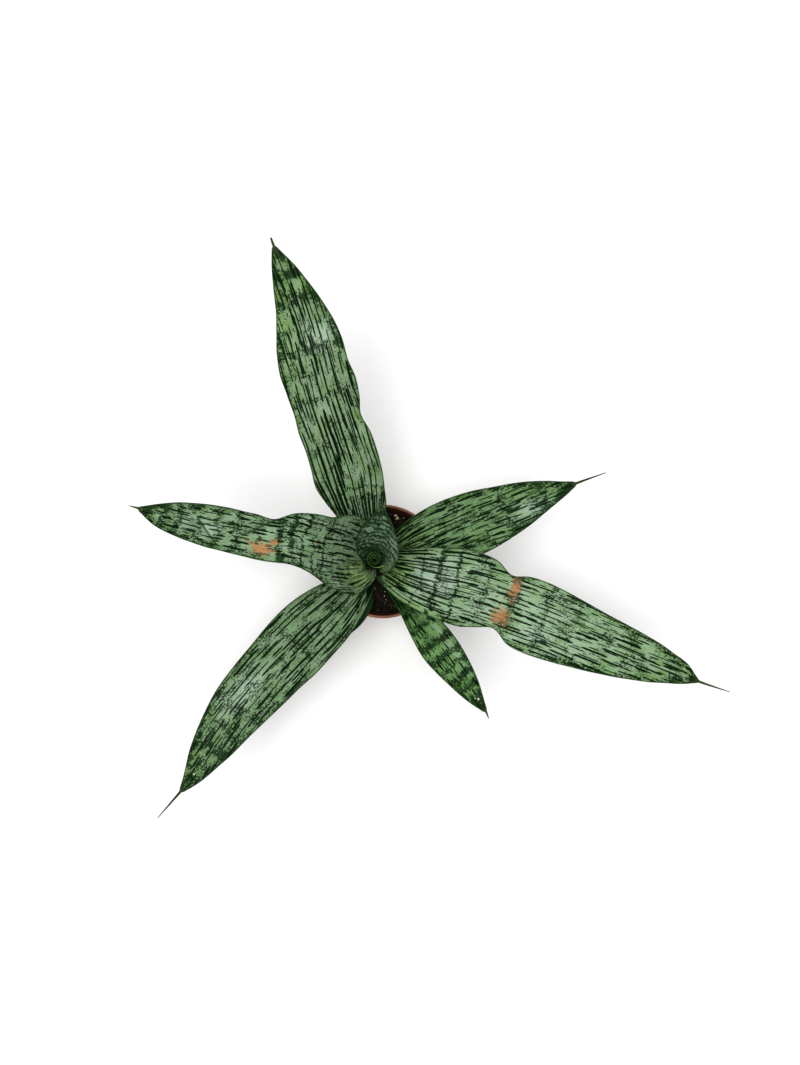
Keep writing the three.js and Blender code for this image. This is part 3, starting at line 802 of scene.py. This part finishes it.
def leaf_material(name, look, seed):
    nodes = Nodes(name + "_skin")
    vein, s, below = nodes.attribute("vein")
    edge, t, spread = nodes.attribute("place")
    across = vein / spread
    vein = vein + below.step(0.3, 0.7) * UNDERSIDE_SHIFT

    # Fine streaks and pores make the ground lighter and darker.
    colour, clear = leaf_ground(nodes, vein, across, s, edge, t, look, seed)
    streaks = leaf_noise(nodes, vein, s, 1.0, 22, seed + 11, detail=3.0, roughness=0.6)
    pores = leaf_noise(nodes, vein, s, 0.8, 1.1, seed + 12, roughness=0.6)
    colour = nodes.scale(colour, 0.2 + streaks * 0.66 + pores * 0.82)
    margin = (1.0 - edge.step(1.5, 8.0)) * t.step(0.35, 0.75)
    ink, blotch, wash = leaf_marks(nodes, vein, s, spread, margin, look, seed)
    colour = nodes.mix(wash * 0.5, colour, tint(WASH))

    # A scar has a darker rim, and few markings show on it.
    streaky = leaf_noise(nodes, across, s, 0.8, 4.0, seed + 13, detail=3.0, roughness=0.65)
    broad = leaf_noise(nodes, across, s, 3.6, 3.6, seed + 14, detail=1.0)
    streaky, broad = (streaky - 0.5) * 2.6, (broad - 0.5) * 1.5
    cover = 0.0
    for place in look.get("scars", ()):
        healed = patch(nodes, across, s, place, streaky + broad)
        colour = nodes.mix((healed * 2.0).at_most(1.0) * 0.5, colour, tint(SCAR_RIM))
        colour = nodes.mix(healed * 0.82, colour, tint(SCAR))
        cover = healed.at_least(cover)
    shown = (1.0 - cover * 0.8) * clear
    colour = nodes.mix(blotch * shown * 0.92, colour, tint(BLOTCH))
    colour = nodes.mix(ink * shown, colour, tint(INK))
    for place in look.get("nicks", ()):
        nick = patch(nodes, across, s, place, (streaky + broad) * 0.4)
        colour = nodes.mix(nick * 0.85, colour, tint(NICK))
    for place in look.get("flecks", ()):
        colour = nodes.mix(patch(nodes, across, s, place, broad * 0.3), colour, tint(FLECK))
    crease_relief_and_shade = fold_depth(across, s, look)
    # The fold's dark crease line is partly its own colour; the darker slope on one side is painted
    # shade.
    if "folds" in look:
        colour = nodes.mix(crease_relief_and_shade.at_most(1.0) * 0.8, colour, tint(MARGIN))

    # A dark rim runs round the blade, out to the awn.
    colour = nodes.mix((1.0 - edge.step(0.2, 0.8)) * 0.7, colour, tint(MARGIN))
    colour = nodes.mix(t.step(0.985, 1.0) * 0.8, colour, tint(AWN))
    nodes.bump(streaks + pores * 0.3 - ink * 0.3 - crease_relief_and_shade, 0.22 * MM)
    return nodes.finish(colour, 0.4 + ink * 0.1 + pores * 0.08, 0.03)


POT_CLAY = (124, 78, 56)
POT_SHADE = (106, 64, 46)
# Painted shade for the inner wall of the collar.
POT_INSIDE_PAINTED_SHADE = (52, 22, 14)
POT_WORN = (140, 88, 62)

# The middle of the collar's wall: its radius at the foot of the collar and how it widens. Inside,
# the collar is painted darker, as painted shade, with a soft edge this high.
COLLAR_FOOT, COLLAR_TOP = 75.9, 89.8
COLLAR_MIDDLE, COLLAR_FLARE = 46.8, 0.225
COLLAR_SOFT = 0.6


def pot_material():
    nodes = Nodes("terracotta_plastic")
    x, y, z = nodes.object_place()
    cloud = nodes.noise(nodes.vector(x / 22, y / 22, z / 30), 3.0)
    speck = nodes.noise(nodes.vector(x / 1.2, y / 1.2, z / 1.2))
    colour = nodes.mix(cloud.step(0.35, 0.65), tint(POT_CLAY), tint(POT_SHADE))
    colour = nodes.mix(speck.step(0.62, 0.75) * 0.25, colour, tint(POT_WORN))
    radius = nodes.math("SQRT", x * x + y * y)
    inwards = (z - COLLAR_FOOT) * COLLAR_FLARE + COLLAR_MIDDLE - radius
    collar_inside_shade = inwards.step(-0.2, 0.2) * z.step(COLLAR_FOOT, COLLAR_FOOT + COLLAR_SOFT)
    collar_inside_shade = collar_inside_shade * (1.0 - z.step(COLLAR_TOP - COLLAR_SOFT, COLLAR_TOP))
    # Painted shade on the inner wall of the collar, above the mix.
    colour = nodes.mix(collar_inside_shade * 0.85, colour, tint(POT_INSIDE_PAINTED_SHADE))
    nodes.bump(speck, 0.08 * MM)
    return nodes.finish(colour, 0.5 + cloud * 0.15, 0.2)


def earth_material(name, dark, light, grain_size, grain_depth):
    """Crumbs of two colours with a rough surface, their size and depth in millimetres."""
    nodes = Nodes(name)
    x, y, z = nodes.object_place()
    place = nodes.vector(x / grain_size, y / grain_size, z / grain_size)
    grain = nodes.noise(place, 4.0, 0.65)
    colour = nodes.mix(grain.step(0.4, 0.68), tint(dark), tint(light))
    nodes.bump(grain, grain_depth * MM)
    return nodes.finish(colour, 0.75 + grain * 0.2, 0.1)


# The mix fills the pot: the radius and the mean height of its top, and the radius and height of
# its side from there down, at its shoulder, at the foot of the collar and at its floor.
SOIL_RADIUS = 45.9
SOIL_LEVEL = 78.0
SOIL_SIDE = ((SOIL_RADIUS, 77.0), (42.8, 74.9), (34.0, 6.0))
SOIL_RINGS, SOIL_AROUND = 70, 200

# The hollow inside the rosette, where only leaves are.
HOLLOW_RADIUS = 11.0
HOLLOW_FLOOR = 67.0

# The crumbs on the top of the mix: how high and how wide.
CRUMB_HEIGHT, CRUMB_SIZE = 1.1, 3.2


def soil_height(x, y):
    """Height of the top of the mix: broad swells with crumbs on them, and the hollow."""
    broad = 0.9 * math.sin(x / 6.3 + 1.1) * math.sin(y / 7.1 + 0.4) + 0.5 * math.sin(x / 2.9 - y / 3.7)
    spot = Vector((x / CRUMB_SIZE, y / CRUMB_SIZE, 4.0))
    crumbs = CRUMB_HEIGHT * noise.fractal(spot, 0.8, 2.1, 4)
    in_hollow = math.hypot(x - CROWN_CENTRE[0], y - CROWN_CENTRE[1]) < HOLLOW_RADIUS
    return HOLLOW_FLOOR if in_hollow else SOIL_LEVEL + broad + crumbs


def make_soil():
    rings, around = SOIL_RINGS, SOIL_AROUND
    turns = [2 * math.pi * j / around for j in range(around)]
    vertices = [(0, 0, soil_height(0, 0))]
    for i in range(1, rings + 1):
        radius = SOIL_RADIUS * i / rings
        for angle in turns:
            x, y = radius * math.cos(angle), radius * math.sin(angle)
            vertices.append((x, y, soil_height(x, y)))
    for radius, height in SOIL_SIDE:
        vertices += [(radius * math.cos(angle), radius * math.sin(angle), height) for angle in turns]
    faces = [(0, 1 + j, 1 + (j + 1) % around) for j in range(around)]
    bands = rings + len(SOIL_SIDE) - 1
    for i in range(bands):
        for j in range(around):
            k = (j + 1) % around
            inner, outer = 1 + i * around, 1 + (i + 1) * around
            faces.append((inner + j, outer + j, outer + k, inner + k))
    last = 1 + bands * around
    faces.append(tuple(last + j for j in range(around))[::-1])
    piece = make_object("potting_mix_bed", [Vector(v) * MM for v in vertices], faces)
    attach(piece, "root")
    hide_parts("soil")
    return piece


# Lumps lie in the open ring of the mix, between these distances from the pot's axis. Each is
# stretched by a share in this range, tilted by up to LUMP_TILT and turned by up to about a full
# turn, both in radians; LUMP_GRAIN is how fine its bumps are.
OPEN_RING = (24.0, SOIL_RADIUS - 1.5)
LUMP_STRETCH = (0.7, 1.2)
LUMP_TILT = 0.5
LUMP_TURN = 6.28
LUMP_GRAIN = 1.7

# Pale bits that the photo shows between the leaves: x, y and size.
SEEN_PERLITE = [
    (11.2, 42.4, 2.1), (12.6, 39.6, 1.7), (18.6, 40.0, 0.6),
    (1.5, -27, 0.5), (1.2, -31, 0.6), (2.4, -34, 0.5),
]


def lump_mesh():
    """Corners and triangles of a ball that the lumps are made from."""
    ball = bpy.data.meshes.new("lump")
    build = bmesh.new()
    bmesh.ops.create_icosphere(build, subdivisions=2, radius=1.0)
    build.to_mesh(ball)
    build.free()
    corners = [v.co.copy() for v in ball.vertices]
    triangles = [tuple(p.vertices) for p in ball.polygons]
    bpy.data.meshes.remove(ball)
    return corners, triangles


def scatter(name, count, seed, sizes, shape, roughness, rise, seen=()):
    """Irregular lumps of one kind, in one piece, partly sunk in the mix.

    sizes: least and greatest radius. shape: how long, wide and high they are for their size.
    rise: how far their middles are above the mix, as a share of their size.
    """
    draw = random.Random(seed)
    corners, triangles = lump_mesh()
    places = list(seen)
    for _ in range(count):
        angle, radius = draw.uniform(0, 2 * math.pi), draw.uniform(*OPEN_RING)
        places.append((radius * math.cos(angle), radius * math.sin(angle), draw.uniform(*sizes)))
    vertices, faces = [], []
    for x, y, size in places:
        stretch = Vector([size * draw.uniform(*LUMP_STRETCH) * k for k in shape])
        tilt = draw.uniform(-LUMP_TILT, LUMP_TILT), draw.uniform(-LUMP_TILT, LUMP_TILT)
        rotation = Euler((*tilt, draw.uniform(0, LUMP_TURN))).to_matrix()
        offset = Vector((draw.uniform(0, 99), draw.uniform(0, 99), 0))
        middle = Vector((x, y, soil_height(x, y) + rise * size))
        start = len(vertices)
        for co in corners:
            bumpy = co * (1 + roughness * noise.noise(co * LUMP_GRAIN + offset))
            point = rotation @ Vector([bumpy[k] * stretch[k] for k in range(3)])
            vertices.append((point + middle) * MM)
        faces += [tuple(start + k for k in face) for face in triangles]
    piece = make_object(name, vertices, faces)
    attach(piece, "root")
    return piece


def give(piece, material):
    piece.data.materials.clear()
    piece.data.materials.append(material)


# The roll: turns and radius of its inner face, from its middle out to its seam; height of its
# top at the seam and how far it drops to the middle; its wall; how narrow its foot is; where its
# seam is; the last part of a turn, which comes loose, and how far out that takes the seam.
HEART_TURNS = 3.0
HEART_MIDDLE, HEART_OUTSIDE = 0.8, 6.6
HEART_TOP, HEART_DIP = 100.0, 10.0
HEART_WALL = 0.85
HEART_FOOT = 0.75
HEART_SEAM = math.radians(325)
HEART_LOOSE, HEART_FLARE = 0.3, 3.0

# It stands this far from the axis of the rosette, in y, and its top leans over by this, in x.
HEART_SHIFT = 1.4
HEART_LEAN = 0.6

# How finely it is made: the steps from its middle to its seam, and from its foot to its top.
HEART_STEPS, HEART_LEVELS = 150, 14

HEART_GREEN = (38, 72, 28)
HEART_EDGE = (62, 98, 44)
HEART_LIP = (126, 160, 92)


def heart_face(side):
    """Points of one face of the roll, level by level, the distance side out from its inner face."""
    points = []
    for i in range(HEART_LEVELS + 1):
        rise = i / HEART_LEVELS
        for j in range(HEART_STEPS + 1):
            out = j / HEART_STEPS
            angle = HEART_SEAM + 2 * math.pi * HEART_TURNS * (out - 1)
            loose = max(0.0, 1 - (1 - out) * HEART_TURNS / HEART_LOOSE)
            radius = HEART_MIDDLE + (HEART_OUTSIDE - HEART_MIDDLE) * out + side
            radius = (radius + HEART_FLARE * loose**2) * (HEART_FOOT + (1 - HEART_FOOT) * rise)
            x = CROWN_CENTRE[0] + HEART_LEAN * rise + radius * math.cos(angle)
            y = CROWN_CENTRE[1] + HEART_SHIFT + radius * math.sin(angle)
            top = HEART_TOP - HEART_DIP * (1 - out)
            points.append((x, y, LEAF_BASE_Z + (top - LEAF_BASE_Z) * rise))
    return points


def make_heart():
    """The next leaf, still a tight roll that stands in the throat of the youngest one."""
    steps, levels = HEART_STEPS, HEART_LEVELS
    vertices = heart_face(0) + heart_face(HEART_WALL)
    row, layer = steps + 1, (steps + 1) * (levels + 1)
    faces = []
    for i in range(levels):
        for j in range(steps):
            a, b, c, d = i * row + j, i * row + j + 1, (i + 1) * row + j + 1, (i + 1) * row + j
            faces.append((d, c, b, a))
            faces.append((a + layer, b + layer, c + layer, d + layer))
    for j in range(steps):
        for base, turn in ((0, 1), (levels * row, -1)):
            faces.append((base + j, base + j + 1, base + j + 1 + layer, base + j + layer)[::turn])
    for i in range(levels):
        for end, turn in ((0, -1), (steps, 1)):
            a, d = i * row + end, (i + 1) * row + end
            faces.append((a, d, d + layer, a + layer)[::turn])
    piece = make_object("heart_roll", [Vector(v) * MM for v in vertices], faces)
    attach(piece, "root")
    return piece


def heart_material():
    """Dark green with rings across it, and a pale lip where the seam comes loose."""
    nodes = Nodes("heart_skin")
    x, y, z = nodes.object_place()
    ring = nodes.math("SINE", (z + nodes.noise(nodes.vector(x / 3, y / 3, z / 3)) * 4.0) * 1.9)
    colour = nodes.mix(ring.step(-0.3, 0.7), tint(HEART_GREEN), tint(HEART_EDGE))
    x, y = x - CROWN_CENTRE[0] - HEART_LEAN, y - CROWN_CENTRE[1] - HEART_SHIFT
    radius = nodes.math("SQRT", x * x + y * y)
    lip = radius.step(HEART_OUTSIDE, HEART_OUTSIDE + HEART_FLARE)
    return nodes.finish(nodes.mix(lip, colour, tint(HEART_LIP)), 0.45, 0.05)


def make_camera():
    data = bpy.data.cameras.new("camera")
    data.sensor_width = SENSOR
    data.lens = SENSOR * FOCAL_PIXELS / max(PHOTO_SIZE)
    camera = bpy.data.objects.new("camera", data)
    camera.location = CAMERA_PLACE
    camera.rotation_euler = (math.radians(CAMERA_TILT), 0, 0)
    bpy.context.scene.collection.objects.link(camera)
    bpy.context.scene.camera = camera


# The studio: half the width of the floor and its colours; the two round lamps, which look at the
# middle of the plant, with their place, width and power; and the strength of the light all round.
FLOOR_HALF = 4.0
PAPER = (249, 249, 249)
PAPER_SHADE = (245, 245, 245)
LIT_PLACE = (0, 0, 0.1)
LAMPS = {
    "key": dict(place=(-0.22, -0.22, 1.9), size=1.1, power=26),
    "fill": dict(place=(0.7, 0.6, 1.6), size=1.4, power=8),
}
AROUND_STRENGTH = 0.5


def make_light(name, place, size, power):
    data = bpy.data.lights.new(name, "AREA")
    data.shape = "DISK"
    data.size = size
    data.energy = power
    light = bpy.data.objects.new(name, data)
    light.location = place
    light.rotation_euler = (Vector(LIT_PLACE) - Vector(place)).to_track_quat("-Z", "Y").to_euler()
    bpy.context.scene.collection.objects.link(light)


def make_stage():
    far = FLOOR_HALF
    corners = [(-far, -far, 0), (far, -far, 0), (far, far, 0), (-far, far, 0)]
    floor = make_object("studio_floor", corners, [(0, 1, 2, 3)])
    nodes = Nodes("studio_paper")
    x, y, _ = nodes.object_place()
    tooth = nodes.noise(nodes.vector(x / 2, y / 2))
    give(floor, nodes.finish(nodes.mix(tooth, tint(PAPER), tint(PAPER_SHADE)), 0.9, 0.1))


def light_world():
    world = bpy.data.worlds.new("studio")
    world.use_nodes = True
    background = world.node_tree.nodes["Background"]
    background.inputs["Color"].default_value = (1, 1, 1, 1)
    background.inputs["Strength"].default_value = AROUND_STRENGTH
    bpy.context.scene.world = world
    bpy.context.scene.view_settings.view_transform = "Standard"


# The patterns of each leaf start from a number of their own.
FIRST_SEED, SEED_STEP = 3.0, 11.0

for number, (name, leaf) in enumerate(LEAVES.items()):
    skin = leaf_material(name, MARKINGS[name], FIRST_SEED + SEED_STEP * number)
    give(make_leaf(name, leaf), skin)

give(make_heart(), heart_material())
give(make_soil(), earth_material("peat", (5, 5, 2), (24, 20, 12), grain_size=1.6, grain_depth=0.8))

bark = scatter(
    "bark_bits", count=60, seed=3, sizes=(1.3, 3.2), shape=(1.5, 0.8, 0.5), roughness=0.5, rise=0.15
)
give(bark, earth_material("bark", (16, 9, 7), (58, 30, 23), grain_size=1.3, grain_depth=0.5))
perlite = scatter(
    "perlite_bits", count=26, seed=8, sizes=(0.5, 1.2), shape=(1.1, 0.9, 0.8), roughness=0.6, rise=0.3,
    seen=SEEN_PERLITE,
)
give(
    perlite,
    earth_material("perlite", (150, 132, 104), (214, 198, 168), grain_size=0.9, grain_depth=0.3),
)
grit = scatter(
    "fine_grit", count=260, seed=21, sizes=(0.4, 1.0), shape=(1.2, 0.9, 0.7), roughness=0.6, rise=0.2
)
give(grit, earth_material("grit", (20, 16, 11), (84, 70, 52), grain_size=0.8, grain_depth=0.2))

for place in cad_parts["pot"].material_slots:
    place.material = pot_material()
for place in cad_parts["crown"].material_slots:
    place.material = earth_material(
        "rootstock_skin", (120, 104, 68), (170, 152, 108), grain_size=3.0, grain_depth=0.4
    )

make_camera()
make_stage()
light_world()
for name, lamp in LAMPS.items():
    make_light(name, **lamp)
